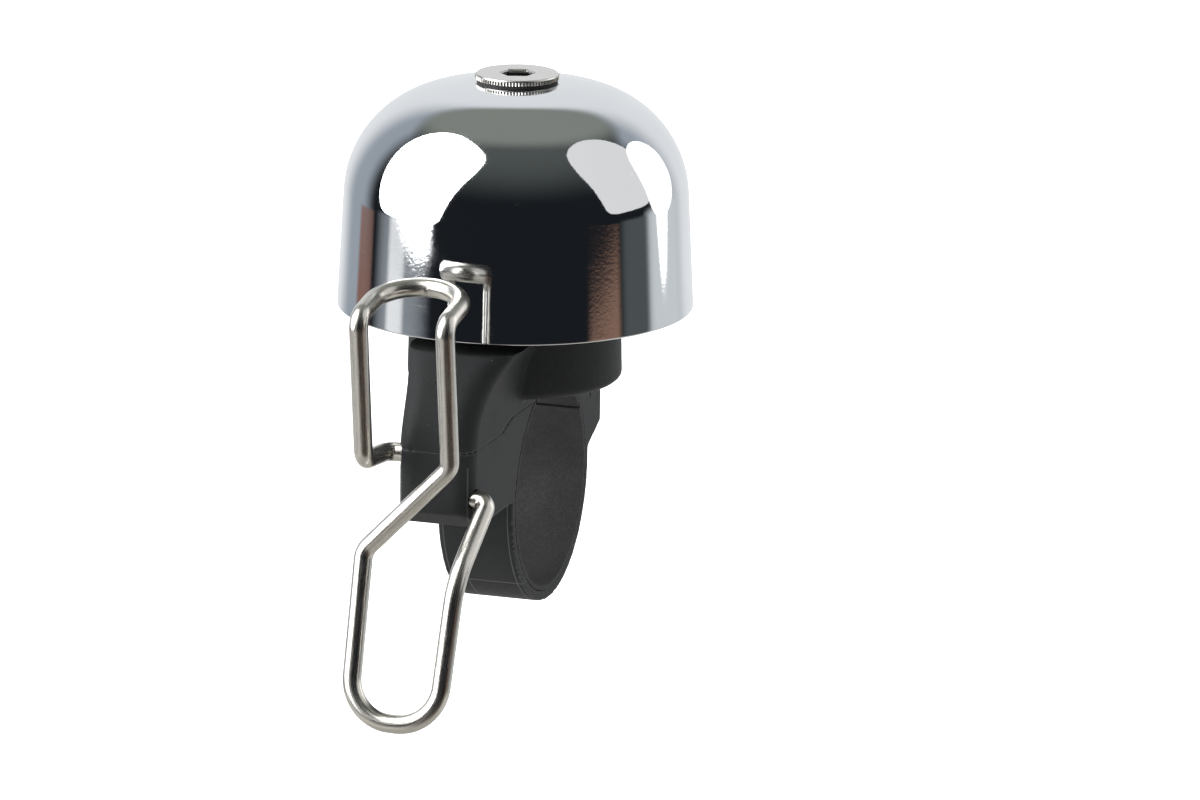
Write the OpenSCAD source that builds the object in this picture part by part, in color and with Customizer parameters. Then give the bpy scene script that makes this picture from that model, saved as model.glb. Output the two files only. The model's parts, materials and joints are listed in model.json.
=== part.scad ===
// Bicycle bell: a chromed dome on a two-part handlebar clamp, struck by a sprung wire lever.
// X runs along the handlebar, Z is up, and the wire lever hangs in front, towards -Y.
// The origin is on the handlebar's axis, under the centre of the dome.

/* [Handlebar clamp] */
// Outside diameter of the handlebar
bar_d = 22.2; // [18.4:0.1:28]
// Thickness of the rubber liner between the bar and the clamp
liner_t = 0.5; // [0.4:0.1:1]
// Thickness of the strap under the bar
strap_t = 1.1; // [0.9:0.1:2.5]
// Width of the clamp along the bar
clamp_w = 8.4; // [7:0.1:12]
// Distance from the strap's outside to the front face of the block
block_reach = 13.5; // [13:0.1:18]
// Height of the block's underside above the bar's axis
block_base = 1; // [0:0.1:2]
// Depth of the block's parting line below the top of the liner
seam_drop = 2.2; // [1.8:0.1:2.6]
// Rise of the parting line where it runs back to the bar
seam_rise = 1; // [0.4:0.1:1.1]
// Radius of the block's upright front edges
block_edge_r = 2; // [0.8:0.1:2.4]
// Depth of the sloping cut under the block's front face
block_slope_y = 2.6; // [1:0.1:3.4]
// Height of that sloping cut
block_slope_z = 1.85; // [0.6:0.05:2]
// How far the nose leans back between the parting line and its top
nose_lean = 6.8; // [5.5:0.1:7.5]
// How much wider the nose grows on each side
nose_flare = 2; // [1:0.1:2.6]

/* [Clamp screw] */
// Diameter of the clamp screw
screw_d = 3; // [2.5:0.1:3.4]
// Distance from the strap's outside to the screw's axis
screw_out = 5.7; // [5:0.1:6.4]
// Diameter of the screw's cylindrical head
screw_head_d = 5.5; // [4.5:0.1:5.8]
// Height of the screw's head
screw_head_h = 2; // [1.6:0.1:2.4]
// Depth of the head's recess below the washer
screw_recess = 3.2; // [2.6:0.1:4]
// Outside diameter of the brass insert in the nose
insert_d = 4.6; // [4.2:0.1:5]
// Length of the brass insert
insert_l = 4.5; // [3:0.1:5]

/* [Rear hook] */
// Distance from the strap's outside to the hook's tongue
hook_out = 1.2; // [1:0.1:2.5]
// Height of the parting line at the rear
hook_seam_z = 6.4; // [5:0.1:7]
// Thickness of the tongue
tongue_t = 1.4; // [1:0.1:1.6]
// Height from the rear parting line to the centre of the tongue's bead
tongue_h = 4.4; // [3.6:0.1:5]
// Diameter of the bead on top of the tongue
bead_d = 2.6; // [2.3:0.1:3]
// Wall of plastic around the hook
hook_wall = 1.6; // [1.2:0.1:2.4]

/* [Pedestal and post] */
// Diameter of the round pedestal at its foot
pedestal_d = 23; // [20:0.5:26]
// How much smaller the pedestal is at its top
pedestal_taper = 0.4; // [0:0.1:1.2]
// Height of the pedestal
pedestal_h = 9.5; // [8.5:0.1:10.5]
// Rounding of the pedestal's lower edge
pedestal_edge_r = 0.5; // [0.2:0.1:1]
// Diameter of the metal post that carries the dome
post_d = 8; // [7:0.1:9]
// Diameter of the flange at the post's foot
post_flange_d = 12; // [10:0.1:13]
// Thickness of that flange
post_flange_t = 1.6; // [1.2:0.1:1.8]

/* [Dome] */
// Diameter of the dome at its rim
dome_d = 38.1; // [31.7:0.1:46]
// Height of the dome from its rim to the top of its crown
dome_h = 24.5; // [20.4:0.1:30]
// Thickness of the dome's metal
dome_wall = 1.1; // [0.8:0.05:1.4]
// Angle of the dome's side, from upright
dome_taper = 3; // [0:0.1:5]
// Radius of the dome's shoulder, as a share of the rim's radius
shoulder_share = 0.63; // [0.5:0.01:0.68]
// Radius of the dome's crown
crown_r = 42; // [34:1:60]
// Height of the dome's rim above the pedestal's foot
rim_lift = 7.9; // [7.5:0.1:9]
// Diameter of the flat spot on the crown
crown_flat_d = 9.4; // [9.2:0.1:12]

/* [Dome screw] */
// Diameter of the screw through the dome
dome_screw_d = 5; // [4:0.1:5.4]
// Length of the screw below its head
dome_screw_l = 16; // [12:0.5:20]
// Diameter of the screw's disc head
head_d = 9; // [8.4:0.1:9.1]
// Thickness of the disc head
head_t = 0.65; // [0.5:0.05:1.2]
// Width of the hexagon socket across its flats
socket_af = 3.2; // [2.5:0.1:3.4]
// Depth of the hexagon socket
socket_depth = 2.4; // [1.5:0.1:4]
// Turn of the hexagon socket about the screw
socket_turn = 18; // [0:1:59]
// Thickness of the dark washer under the head
top_washer_t = 0.3; // [0.2:0.05:0.6]
// Thickness of the soft bush under the crown
bush_t = 1.5; // [1:0.1:2.5]
// Thickness of the steel washer between post and bush
seat_washer_t = 1; // [0.6:0.1:1.6]

/* [Wire lever] */
// Diameter of the wire
wire_d = 2; // [1.6:0.05:2.4]
// Distance from the block's front face back to the wire's two holes
pin_back = 1.9; // [1.8:0.1:2.4]
// Depth of the upper hole, in the block's left side, below the parting line
pin_drop = 0.8; // [0.6:0.05:0.9]
// Height of the lower hole, in the block's right side
foot_z = 4.2; // [4:0.1:4.6]
// Depth of each hole
pin_depth = 3.4; // [2.4:0.1:3.6]
// Width of the wire frame between its centre lines
frame_w = 9.5; // [9:0.1:11]
// Sideways place of the frame's middle
frame_x = -1.4; // [-1.8:0.1:-1]
// Distance from the block's front face to the foot of the upright frame
frame_foot_out = 4.2; // [4:0.1:6]
// Distance from the dome's rim to the top of the upright frame, measured level
frame_top_out = 13.25; // [12.9:0.05:16]
// Height of the top of the upright frame above the dome's rim
frame_top_rise = 5.25; // [4.5:0.05:7]
// Straight length of the striker arch before its round end
arch_straight = 4.1; // [2:0.1:4.6]
// Upward tilt of the striker arch
arch_tilt = 10.7; // [0:0.1:20]
// Distance from the block's front face to the top of the finger loop
loop_top_out = 4; // [3.6:0.1:6]
// Height of the top of the finger loop
loop_top_z = -0.75; // [-2:0.05:1]
// Distance from the block's front face to the foot of the finger loop
loop_foot_out = 8.6; // [7:0.1:11]
// Height of the foot of the finger loop, on the wire's centre line
loop_foot_z = -17.85; // [-22:0.05:-14]
// Distance from the block's front face to the knee of the return leg
knee_out = 5.7; // [5:0.1:7]
// Height of the knee of the return leg
knee_z = -2.7; // [-4:0.1:-1]
// Radius inside the wire's tight bends
bend_in = 0.5; // [0.4:0.1:1]
// Gap between the block's left side and the wire beside it
elbow_gap_left = 0.5; // [0.4:0.1:1.2]
// Gap between the block's right side and the wire beside it
elbow_gap_right = 0.3; // [0.3:0.1:1.2]

/* [Hidden] */
$fn = 64;

// Named clearances
turn_gap = 0.05;     // round the wire's ends, and the screws in their threads
slip_gap = 0.1;      // between pieces pushed or dropped together
screw_gap = 0.15;    // round a screw's shank in a plain hole
head_gap = 0.3;      // round the clamp screw's head and washer in their recess
tip_gap = 0.4;       // past the tips of the screws
cut = 1;             // how far a cutting tool runs past a face

// Colours
black_plastic = [0.07, 0.07, 0.075];
black_rubber = [0.04, 0.04, 0.04];
chrome = [0.86, 0.87, 0.88];
stainless = [0.72, 0.7, 0.66];
steel = [0.6, 0.61, 0.62];
brass = [0.78, 0.62, 0.28];
nylon = [0.85, 0.84, 0.78];

// Clamp
bar_r = bar_d / 2;
seat_r = bar_r + liner_t;
strap_r = seat_r + strap_t;
half_w = clamp_w / 2;
block_front = strap_r + block_reach;
block_root_rise = 2;   // slope of the strap's underside towards the rear lug
screw_y = strap_r + screw_out;
hook_y = strap_r + hook_out;
seam_z = seat_r - seam_drop;
seam_ramp_y = -screw_y + screw_d / 2 + 1;
seam_back_z = seam_z + seam_rise;
hook_back = hook_y + bead_d / 2 + slip_gap + hook_wall;
bead_z = hook_seam_z + tongue_h;
hook_top = bead_z + bead_d / 2 + slip_gap + hook_wall;
tongue_root = 0.5;     // how deep the tongue is joined to the lower half
lug_round = 1.4;       // slopes on top of the rear lug
lug_ridge = 1;
fill_back = 4;         // the saddle's filling stays this far behind the nose's face
fill_lean = 3;
fill_rise = 6;
fill_mid = 2;

// Clamp screw
screw_seat_z = block_base + screw_recess;
clamp_washer_t = 0.5;
clamp_washer_d = screw_head_d + 0.4;
insert_z = seam_z + 0.6;
insert_groove_t = 0.8;
insert_groove_depth = 0.3;
screw_tip_z = insert_z + insert_l - 0.3;
screw_socket_af = 0.83 * screw_d;
screw_socket_depth = 0.6 * screw_head_h;

// Pedestal, post and dome stack
post_flange_z = seat_r + 0.3;
rim_z = seat_r + rim_lift;
crown_z = rim_z + dome_h;
shoulder_r = shoulder_share * dome_d / 2;
flat_r = crown_flat_d / 2;
flat_z = crown_z - crown_r + sqrt(crown_r * crown_r - flat_r * flat_r);
inner_flat_z = crown_z - crown_r + sqrt(pow(crown_r - dome_wall, 2) - flat_r * flat_r);
bush_z = inner_flat_z - bush_t;
seat_washer_z = bush_z - seat_washer_t;
head_z = flat_z + top_washer_t;
spigot_r = dome_screw_d / 2 + 1;
post_bore_l = dome_screw_l - (head_z - seat_washer_z) + tip_gap;

// Dome outline: the side leans in by dome_taper, and the shoulder arc touches both side and crown
rim_r = dome_d / 2;
side_dir = [-sin(dome_taper), cos(dome_taper)];
side_in = [-cos(dome_taper), -sin(dome_taper)];
crown_c = [0, crown_z - crown_r];
from_crown = [rim_r, rim_z] + shoulder_r * side_in - crown_c;
along = from_crown * side_dir;
side_len = sqrt(along * along - from_crown * from_crown + pow(crown_r - shoulder_r, 2)) - along;
shoulder_c = [rim_r, rim_z] + side_len * side_dir + shoulder_r * side_in;
shoulder_end = atan2(shoulder_c[1] - crown_c[1], shoulder_c[0]);
outline_steps = 18;

// Wire
foot_rise = 0.4;       // rise of the frame's foot above the upper hole
knee_side = 1.25;      // the return leg stands this far outside the frame at its knee
loop_side = 0.2;       // and this far outside it at the foot of the loop
pin_bend = 0.3;        // radii inside the bends that differ from bend_in
foot_bend = 1;
loop_top_bend = 1.2;
knee_bend = 7;
leg_pin_bend = 0.1;
wire_r = wire_d / 2;
wire_sides = 16;
section_turn = 12;
sweep_r = wire_r - 0.01;   // the bent tube lies just inside the round pins that it joins
hole_r = wire_r + turn_gap;
left_x = frame_x - frame_w / 2;
right_x = frame_x + frame_w / 2;
bend_r = wire_r + bend_in;
pin_y = block_front - pin_back;
pin_z = seam_z - pin_drop;
left_elbow_x = -half_w - elbow_gap_left - wire_r;
right_elbow_x = half_w + elbow_gap_right + wire_r;
frame_foot_y = block_front + frame_foot_out;
frame_foot_z = pin_z + foot_rise;
frame_top_y = rim_r + frame_top_out;
frame_top_z = rim_z + frame_top_rise;
arch_len = arch_straight + frame_w / 2;
arch_y = -frame_top_y + arch_len * cos(arch_tilt);
arch_z = frame_top_z + arch_len * sin(arch_tilt);
loop_top_y = block_front + loop_top_out;
loop_foot_y = block_front + loop_foot_out;
loop_bend_r = frame_w / 2 - 0.1;
knee = [right_x + knee_side, -block_front - knee_out, knee_z];
loop_foot_right = [right_x + loop_side, -loop_foot_y, loop_foot_z];
// The striker wire ends, and the springy return leg starts, part of the way up the finger loop
leg_share = 0.42;
leg_start = loop_foot_right + leg_share * (knee - loop_foot_right);

striker_points = [
    [-half_w, -pin_y, pin_z],
    [left_elbow_x, -pin_y, pin_z],
    [left_x, -frame_foot_y, frame_foot_z],
    [left_x, -frame_top_y, frame_top_z],
    [left_x, arch_y, arch_z],
    [right_x, arch_y, arch_z],
    [right_x, -frame_top_y, frame_top_z],
    [right_x, -frame_foot_y, frame_foot_z],
    [left_x, -loop_top_y, loop_top_z],
    [left_x, -loop_foot_y, loop_foot_z],
    loop_foot_right,
    leg_start
];
striker_bends = [0, wire_r + pin_bend, bend_r, bend_r, frame_w / 2, frame_w / 2, bend_r,
                 wire_r + foot_bend, wire_r + loop_top_bend, loop_bend_r, loop_bend_r, 0];
leg_points = [
    leg_start,
    knee,
    [right_elbow_x, -pin_y, foot_z],
    [half_w, -pin_y, foot_z]
];
leg_bends = [0, wire_r + knee_bend, wire_r + leg_pin_bend, 0];

function unit(v) = v / norm(v);
function turn_at(p, i) = acos(unit(p[i] - p[i - 1]) * unit(p[i + 1] - p[i]));
// Length of straight that a bend takes from each of its two sides
function trim_at(p, b, i) = b[i] * tan(turn_at(p, i) / 2);
// Places and directions of the wire's sections round the corner p[i]
function bend_sections(p, b, i) =
    let (u = unit(p[i] - p[i - 1]),
         v = unit(p[i + 1] - p[i]),
         n = unit(v - (u * v) * u),
         c = p[i] - trim_at(p, b, i) * u + b[i] * n,
         steps = ceil(turn_at(p, i) / section_turn))
    [for (s = [0 : steps]) let (a = turn_at(p, i) * s / steps)
        [c + b[i] * (sin(a) * u - cos(a) * n), cos(a) * u + sin(a) * n]];
function sections(p, b) = concat(
    [[p[0], unit(p[1] - p[0])]],
    [for (i = [1 : len(p) - 2]) each bend_sections(p, b, i)],
    [[p[len(p) - 1], unit(p[len(p) - 1] - p[len(p) - 2])]]);
function square_to(n, t) = unit(n - (n * t) * t);
// One sideways direction for each section, carried along so that the tube never twists
function carried(s) = [for (i = 0, n = square_to([0, 0.2, 1], s[0][1]); i < len(s);
                            i = i + 1, n = i < len(s) ? square_to(n, s[i][1]) : n) n];

// Wire bent along the points p, with the bend radii b
module bent_wire(p, b) {
    s = sections(p, b);
    side = carried(s);
    rings = len(s);
    points = [for (i = [0 : rings - 1]) let (up = cross(s[i][1], side[i]))
        for (k = [0 : wire_sides - 1]) let (a = 360 * k / wire_sides)
            s[i][0] + sweep_r * (cos(a) * side[i] + sin(a) * up)];
    walls = [for (i = [0 : rings - 2], k = [0 : wire_sides - 1])
        let (m = (k + 1) % wire_sides, at = i * wire_sides)
            each [[at + k, at + wire_sides + k, at + m],
                  [at + m, at + wire_sides + k, at + wire_sides + m]]];
    caps = [[for (k = [0 : wire_sides - 1]) k],
            [for (k = [wire_sides - 1 : -1 : 0]) (rings - 1) * wire_sides + k]];
    polyhedron(points, concat(walls, caps));
}

// The round end of the wire that turns in a hole, from x to the bend that starts at bend_x
module wire_pin(x, bend_x, z) {
    translate([min(x, bend_x), -pin_y, z])
        rotate([0, 90, 0])
            cylinder(r = wire_r, h = abs(bend_x - x));
}

// A side profile, drawn as [y, z], made as wide as the clamp or w, and centred on the bar's middle
module across(w) {
    translate([-w / 2, 0, 0])
        rotate([90, 0, 90])
            linear_extrude(w)
                children();
}

// Plan of the clamp with its rounded front edges
module clamp_plan() {
    translate([-half_w, -block_front + block_edge_r])
        square([clamp_w, block_front - block_edge_r + hook_back]);
    translate([-half_w + block_edge_r, -block_front])
        square([clamp_w - 2 * block_edge_r, block_edge_r]);
    for (side = [-1, 1])
        translate([side * (half_w - block_edge_r), -block_front + block_edge_r])
            circle(r = block_edge_r);
}

// Side profile of everything that lies below the parting line
module below_seam() {
    polygon([[-block_front - cut, -strap_r - cut],
             [-block_front - cut, seam_z],
             [seam_ramp_y, seam_z],
             [-strap_r, seam_back_z],
             [0, seam_back_z],
             [0, hook_seam_z],
             [hook_back + cut, hook_seam_z],
             [hook_back + cut, -strap_r - cut]]);
}

// Side profile of the lower clamp half
module lower_profile() {
    intersection() {
        difference() {
            union() {
                circle(r = strap_r, $fn = 128);
                polygon([[0, seam_back_z],
                         [-block_front, seam_back_z],
                         [-block_front, block_base + block_slope_z],
                         [-block_front + block_slope_y, block_base],
                         [0, block_base]]);
                polygon([[0, block_base],
                         [strap_r, block_base],
                         [hook_back, block_base + block_root_rise],
                         [hook_back, hook_seam_z],
                         [0, hook_seam_z]]);
            }
            circle(r = seat_r, $fn = 128);
        }
        below_seam();
    }
    translate([hook_y - tongue_t / 2, hook_seam_z - tongue_root])
        square([tongue_t, tongue_h + tongue_root]);
    translate([hook_y, bead_z])
        circle(d = bead_d);
}

module lower_body() {
    color(black_plastic)
        difference() {
            intersection() {
                across(clamp_w)
                    lower_profile();
                translate([0, 0, -strap_r - cut])
                    linear_extrude(strap_r + hook_top + 2 * cut)
                        clamp_plan();
            }
            wire_holes();
            translate([0, -screw_y, 0]) {
                translate([0, 0, block_base - cut])
                    cylinder(d = screw_head_d + 2 * head_gap, h = screw_recess + cut);
                cylinder(d = screw_d + 2 * screw_gap, h = seam_back_z + cut);
            }
        }
}

// The two holes that hold the wire's ends
module wire_holes() {
    translate([-half_w - cut, -pin_y, pin_z])
        rotate([0, 90, 0])
            cylinder(r = hole_r, h = pin_depth + cut + slip_gap);
    translate([half_w + cut, -pin_y, foot_z])
        rotate([0, -90, 0])
            cylinder(r = hole_r, h = pin_depth + cut + slip_gap);
}

// Outline of the nose at a height, given as t from 0 at the parting line to 1 at its top
nose_gap = 1.1;        // between the nose's top and the dome's rim
nose_h = rim_z - nose_gap - seam_z;
nose_edge_growth = 1.1;
nose_root_y = -8;
nose_steps = 12;
nose_corner_steps = 8;

function nose_front(t) = -block_front + nose_lean * pow(t, 2.15);
function nose_half_w(t) = half_w + nose_flare * pow(t, 3.5);
function nose_edge(t) = block_edge_r + nose_edge_growth * t;
function nose_outline(t) = let (w = nose_half_w(t), r = nose_edge(t), y = nose_front(t) + r)
    concat([[-w, nose_root_y]],
           [for (k = [0 : nose_corner_steps]) let (a = 180 + 90 * k / nose_corner_steps)
               [-w + r + r * cos(a), y + r * sin(a)]],
           [for (k = [0 : nose_corner_steps]) let (a = 270 + 90 * k / nose_corner_steps)
               [w - r + r * cos(a), y + r * sin(a)]],
           [[w, nose_root_y]]);

// The nose leans back and widens as it rises to the pedestal
module nose() {
    outline_size = len(nose_outline(0));
    points = [for (i = [0 : nose_steps]) let (t = i / nose_steps)
        for (p = nose_outline(t)) [p[0], p[1], seam_z + t * nose_h]];
    walls = [for (i = [0 : nose_steps - 1], k = [0 : outline_size - 1])
        let (m = (k + 1) % outline_size, at = i * outline_size)
            each [[at + k, at + outline_size + k, at + m],
                  [at + m, at + outline_size + k, at + outline_size + m]]];
    caps = [[for (k = [0 : outline_size - 1]) k],
            [for (k = [outline_size - 1 : -1 : 0]) nose_steps * outline_size + k]];
    polyhedron(points, concat(walls, caps));
}

module pedestal() {
    r = pedestal_d / 2;
    translate([0, 0, seat_r])
        rotate_extrude($fn = 96)
            polygon([[0, 0],
                     [r - pedestal_edge_r, 0],
                     [r, pedestal_edge_r],
                     [r - pedestal_taper / 2, pedestal_h - 1],
                     [r - pedestal_taper / 2 - 1, pedestal_h],
                     [0, pedestal_h]]);
}

// Filling between pedestal, nose and bar, and the lug over the rear hook
module saddle() {
    across(clamp_w)
        polygon([[-block_front + fill_back, seam_z],
                 [-block_front + fill_back + fill_lean, seam_z + fill_rise],
                 [0, seat_r + fill_mid],
                 [hook_back - lug_ridge - lug_round, hook_top + lug_round],
                 [hook_back - lug_ridge, hook_top],
                 [hook_back, hook_top - lug_round],
                 [hook_back, hook_seam_z],
                 [0, hook_seam_z],
                 [0, seam_z]]);
}

module upper_body() {
    color(black_plastic)
        difference() {
            union() {
                pedestal();
                nose();
                saddle();
            }
            translate([-pedestal_d, 0, 0])
                rotate([0, 90, 0])
                    cylinder(r = seat_r, h = 2 * pedestal_d, $fn = 128);
            across(clamp_w + 2 * cut)
                below_seam();
            // keyhole for the rear hook
            across(clamp_w + 2 * cut) {
                translate([hook_y - tongue_t / 2 - slip_gap, hook_seam_z - cut])
                    square([tongue_t + 2 * slip_gap, tongue_h + cut]);
                translate([hook_y, bead_z])
                    circle(d = bead_d + 2 * slip_gap);
            }
            wire_holes();
            // clamp screw and its insert
            translate([0, -screw_y, 0]) {
                translate([0, 0, seam_z - cut])
                    cylinder(d = screw_d + 2 * screw_gap, h = screw_tip_z + tip_gap - seam_z + cut);
                translate([0, 0, insert_z])
                    cylinder(d = insert_d + 2 * turn_gap, h = insert_l);
            }
            // post and its flange
            cylinder(d = post_d + 2 * turn_gap, h = seat_r + pedestal_h + cut);
            cylinder(d = post_flange_d + 2 * turn_gap, h = post_flange_z + post_flange_t);
        }
}

// A strip of rubber round the bar between two angles, measured from -Y up over the top
module liner_strip(from, to) {
    far = 2 * seat_r;
    across(clamp_w)
        difference() {
            intersection() {
                circle(r = seat_r, $fn = 128);
                polygon(concat([[0, 0]],
                    [for (i = [0 : 4]) let (a = from + (to - from) * i / 4)
                        [-far * cos(a), far * sin(a)]]));
            }
            circle(r = bar_r, $fn = 128);
        }
}

liner_front = asin(seam_back_z / seat_r) - 1;
liner_rear = asin(hook_seam_z / seat_r) - 1;

module upper_liner() {
    color(black_rubber)
        liner_strip(liner_front + 2, 180 - liner_rear - 2);
}

module lower_liner() {
    color(black_rubber)
        liner_strip(liner_front, -180 - liner_rear);
}

module clamp_washer() {
    color(steel)
        translate([0, -screw_y, screw_seat_z - clamp_washer_t])
            difference() {
                cylinder(d = clamp_washer_d, h = clamp_washer_t);
                translate([0, 0, -cut])
                    cylinder(d = screw_d + 2 * slip_gap, h = clamp_washer_t + 2 * cut);
            }
}

module clamp_screw() {
    under_head = screw_seat_z - clamp_washer_t;
    color(steel)
        translate([0, -screw_y, 0])
            difference() {
                union() {
                    translate([0, 0, under_head - screw_head_h])
                        cylinder(d = screw_head_d, h = screw_head_h);
                    translate([0, 0, under_head])
                        cylinder(d = screw_d, h = screw_tip_z - under_head);
                }
                translate([0, 0, under_head - screw_head_h - cut])
                    cylinder(d = screw_socket_af / cos(30), h = screw_socket_depth + cut, $fn = 6);
            }
}

module brass_insert() {
    color(brass)
        translate([0, -screw_y, insert_z])
            difference() {
                cylinder(d = insert_d, h = insert_l);
                translate([0, 0, -cut])
                    cylinder(d = screw_d + 2 * turn_gap, h = insert_l + 2 * cut);
                translate([0, 0, (insert_l - insert_groove_t) / 2])
                    difference() {
                        cylinder(d = insert_d + cut, h = insert_groove_t);
                        translate([0, 0, -cut])
                            cylinder(d = insert_d - 2 * insert_groove_depth,
                                     h = insert_groove_t + 2 * cut);
                    }
            }
}

module post() {
    color(steel)
        difference() {
            union() {
                translate([0, 0, post_flange_z])
                    cylinder(d = post_flange_d, h = post_flange_t);
                translate([0, 0, post_flange_z])
                    cylinder(d = post_d, h = seat_washer_z - post_flange_z);
            }
            translate([0, 0, seat_washer_z - post_bore_l])
                cylinder(d = dome_screw_d + 2 * turn_gap, h = post_bore_l + cut);
        }
}

module seat_washer() {
    color(steel)
        translate([0, 0, seat_washer_z])
            difference() {
                cylinder(d = post_flange_d, h = seat_washer_t);
                translate([0, 0, -cut])
                    cylinder(d = dome_screw_d + 2 * slip_gap, h = seat_washer_t + 2 * cut);
            }
}

// Soft bush with a spigot through the crown, so that no metal damps the dome
module isolating_bush() {
    color(nylon)
        translate([0, 0, bush_z])
            difference() {
                union() {
                    cylinder(r = flat_r - slip_gap, h = bush_t);
                    cylinder(r = spigot_r, h = flat_z - bush_z);
                }
                translate([0, 0, -cut])
                    cylinder(d = dome_screw_d + 2 * slip_gap, h = bush_t + dome_wall + 2 * cut);
            }
}

// Points of one face of the dome, a distance inset inside its outer face, from rim to flat spot
function arc(c, r, from, to, steps) =
    [for (i = [0 : steps]) let (a = from + (to - from) * i / steps) c + r * [cos(a), sin(a)]];
function crown_end(inset) = acos(flat_r / (crown_r - inset));
function dome_face(inset) = concat(
    [[rim_r - inset / cos(dome_taper), rim_z]],
    arc(shoulder_c, shoulder_r - inset, dome_taper, shoulder_end, outline_steps),
    arc(crown_c, crown_r - inset, shoulder_end, crown_end(inset), outline_steps / 3));
function reversed(list) = [for (i = [len(list) - 1 : -1 : 0]) list[i]];

module dome() {
    hole = spigot_r + slip_gap;
    color(chrome)
        rotate_extrude($fn = 128)
            polygon(concat(dome_face(0), [[hole, flat_z], [hole, inner_flat_z]],
                           reversed(dome_face(dome_wall))));
}

module top_washer() {
    color(black_rubber)
        translate([0, 0, flat_z])
            difference() {
                cylinder(d = head_d - 0.4, h = top_washer_t);
                translate([0, 0, -cut])
                    cylinder(d = dome_screw_d + 2 * slip_gap, h = top_washer_t + 2 * cut);
            }
}

module dome_screw() {
    bevel = 0.15;
    color(stainless)
        difference() {
            union() {
                rotate_extrude($fn = 96)
                    polygon([[0, head_z],
                             [head_d / 2, head_z],
                             [head_d / 2, head_z + head_t - bevel],
                             [head_d / 2 - bevel, head_z + head_t],
                             [0, head_z + head_t]]);
                translate([0, 0, head_z - dome_screw_l])
                    cylinder(d = dome_screw_d, h = dome_screw_l);
            }
            translate([0, 0, head_z + head_t - socket_depth])
                rotate([0, 0, socket_turn])
                    cylinder(d = socket_af / cos(30), h = socket_depth + cut, $fn = 6);
        }
}

module striker_wire() {
    color(stainless) {
        bent_wire(striker_points, striker_bends);
        wire_pin(-half_w + pin_depth, left_elbow_x + trim_at(striker_points, striker_bends, 1), pin_z);
    }
}

module return_leg() {
    color(stainless) {
        bent_wire(leg_points, leg_bends);
        wire_pin(half_w - pin_depth, right_elbow_x - trim_at(leg_points, leg_bends, 2), foot_z);
    }
}

upper_body();
lower_body();
upper_liner();
lower_liner();
clamp_screw();
clamp_washer();
brass_insert();
post();
seat_washer();
isolating_bush();
dome();
top_washer();
dome_screw();
striker_wire();
return_leg();
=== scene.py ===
"""Looks for a bicycle bell: chromed dome, sprung wire lever and a two-part clamp."""

import json
import math

import bmesh
import bpy
import numpy as np
from mathutils import Matrix, Vector


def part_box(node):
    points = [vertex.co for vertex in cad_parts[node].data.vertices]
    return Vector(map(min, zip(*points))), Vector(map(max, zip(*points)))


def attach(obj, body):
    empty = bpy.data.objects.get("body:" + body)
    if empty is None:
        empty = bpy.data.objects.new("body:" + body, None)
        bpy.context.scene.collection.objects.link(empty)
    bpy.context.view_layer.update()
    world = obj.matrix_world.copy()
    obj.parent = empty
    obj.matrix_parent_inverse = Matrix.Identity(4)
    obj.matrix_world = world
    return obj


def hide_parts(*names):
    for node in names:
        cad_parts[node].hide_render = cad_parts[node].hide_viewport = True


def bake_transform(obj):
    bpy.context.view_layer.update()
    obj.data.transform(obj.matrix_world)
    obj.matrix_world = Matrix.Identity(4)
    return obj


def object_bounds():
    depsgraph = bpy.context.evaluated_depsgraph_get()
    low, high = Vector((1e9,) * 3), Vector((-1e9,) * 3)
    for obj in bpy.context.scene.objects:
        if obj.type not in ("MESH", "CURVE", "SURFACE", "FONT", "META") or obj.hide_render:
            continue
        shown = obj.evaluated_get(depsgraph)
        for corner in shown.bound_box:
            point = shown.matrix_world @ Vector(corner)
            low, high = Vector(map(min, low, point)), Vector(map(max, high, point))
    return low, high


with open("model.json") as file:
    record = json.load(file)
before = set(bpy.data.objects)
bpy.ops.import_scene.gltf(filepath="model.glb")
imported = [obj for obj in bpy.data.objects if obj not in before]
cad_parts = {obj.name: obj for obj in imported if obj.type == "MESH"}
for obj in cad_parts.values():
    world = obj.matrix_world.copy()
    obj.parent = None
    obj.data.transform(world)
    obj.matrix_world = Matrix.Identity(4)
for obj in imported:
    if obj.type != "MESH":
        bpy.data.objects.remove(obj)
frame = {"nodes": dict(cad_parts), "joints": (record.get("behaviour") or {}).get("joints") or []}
CAD_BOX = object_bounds()

bl_info = {
    "name": "Bicycle bell",
    "version": (1, 0, 0),
    "blender": (4, 5, 0),
    "location": "3D View > Sidebar > Bell",
    "description": "Builds the visible pieces of a bicycle bell round its packed model",
    "category": "Object",
}

MM = 0.001
JOINT = frame["joints"][0]
PIN = Vector(JOINT["pos_m"])
DOME_LO, DOME_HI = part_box("dome")
SCREW_LO, SCREW_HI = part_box("dome_screw")
WASHER_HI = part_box("top_washer")[1]
WIRE_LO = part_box("striker_wire")[0]
LOWER_LO, LOWER_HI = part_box("lower_body")


# ---------- settings


def length(name, description, default, low=0.0, high=0.2):
    return bpy.props.FloatProperty(
        name=name, description=description, default=default, min=low, max=high,
        unit="LENGTH", precision=5,
    )


def colour(name, description, default):
    return bpy.props.FloatVectorProperty(
        name=name, description=description, default=default, size=3,
        min=0.0, max=1.0, subtype="COLOR",
    )


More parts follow.
